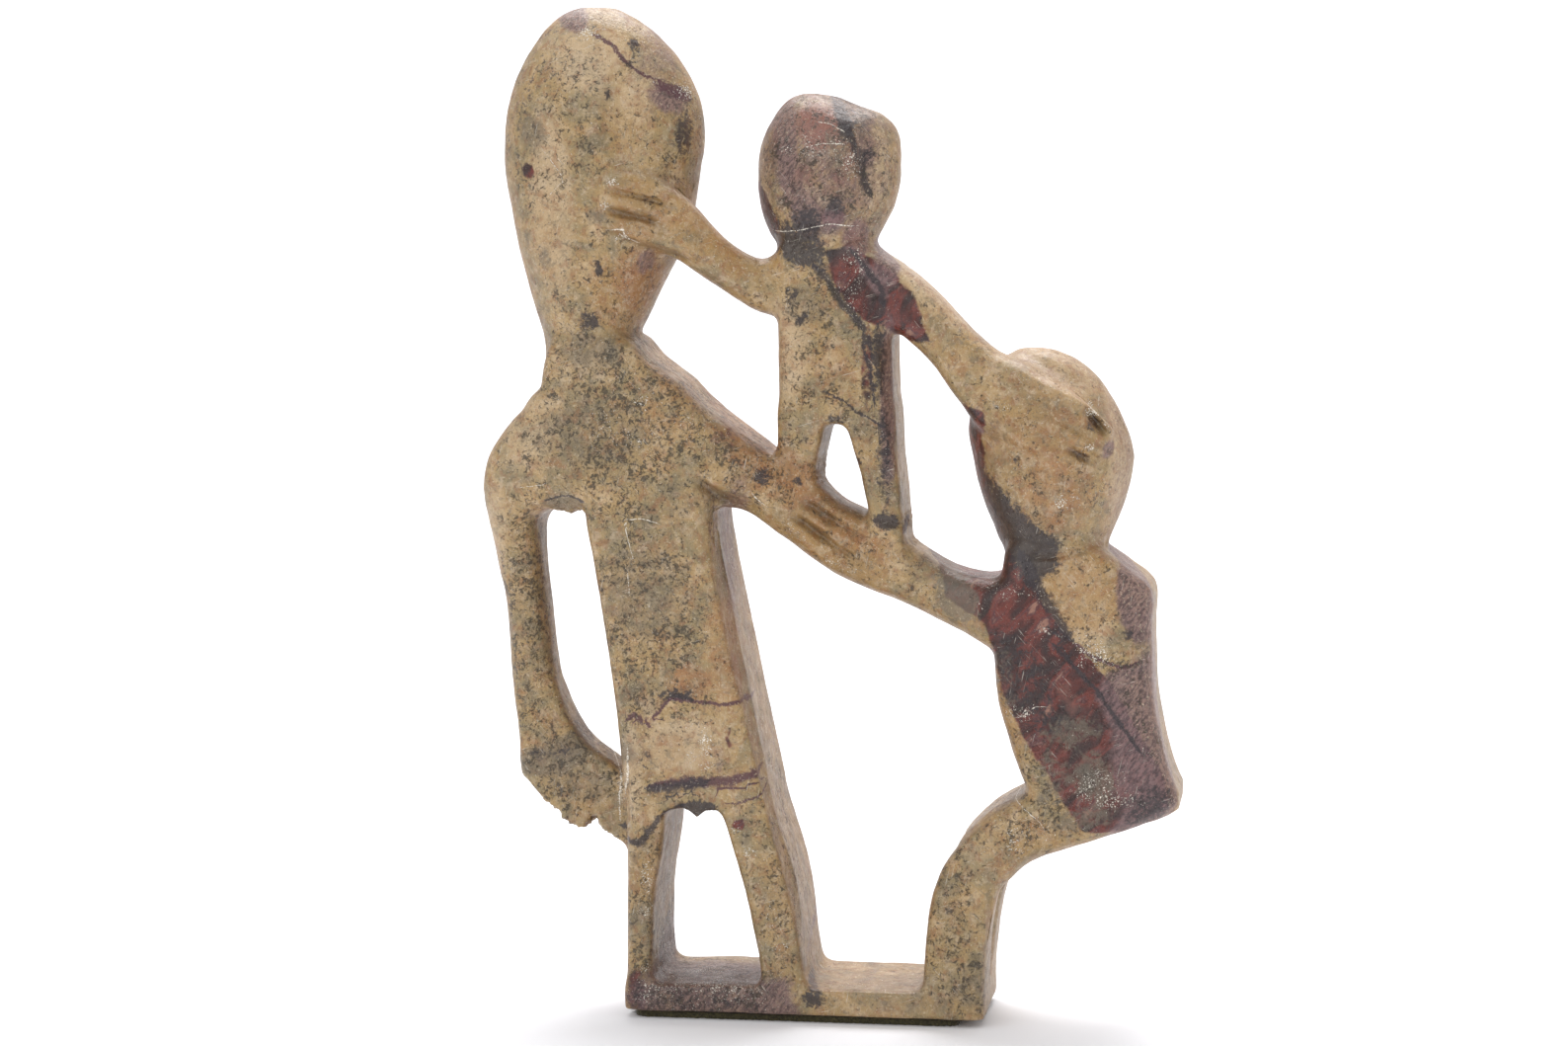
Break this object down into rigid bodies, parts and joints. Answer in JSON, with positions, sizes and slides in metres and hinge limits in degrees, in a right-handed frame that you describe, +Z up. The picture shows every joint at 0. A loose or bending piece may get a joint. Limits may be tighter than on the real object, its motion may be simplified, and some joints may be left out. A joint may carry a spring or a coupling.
{
  "type": "family group sculpture",
  "caption": "Carved soapstone family group: a tall figure and a kneeling one join hands, and a child stands between them, on a thin felt sole.",
  "frame": {"origin": "on the surface that the group stands on, under the middle of its whole width and depth", "axes": "+Z up, +X towards the kneeling figure, -Y towards the viewer"},
  "size_m": [0.209, 0.0452, 0.2992],
  "materials": {
    "waxed_soapstone": "carved by hand, rubbed smooth and waxed to a soft gloss, veined and mottled",
    "olive_felt": "thin pressed wool felt, matt"
  },
  "bodies": {
    "root": {"stone_carving": "waxed_soapstone", "felt_sole": "olive_felt"}
  },
  "joints": []
}
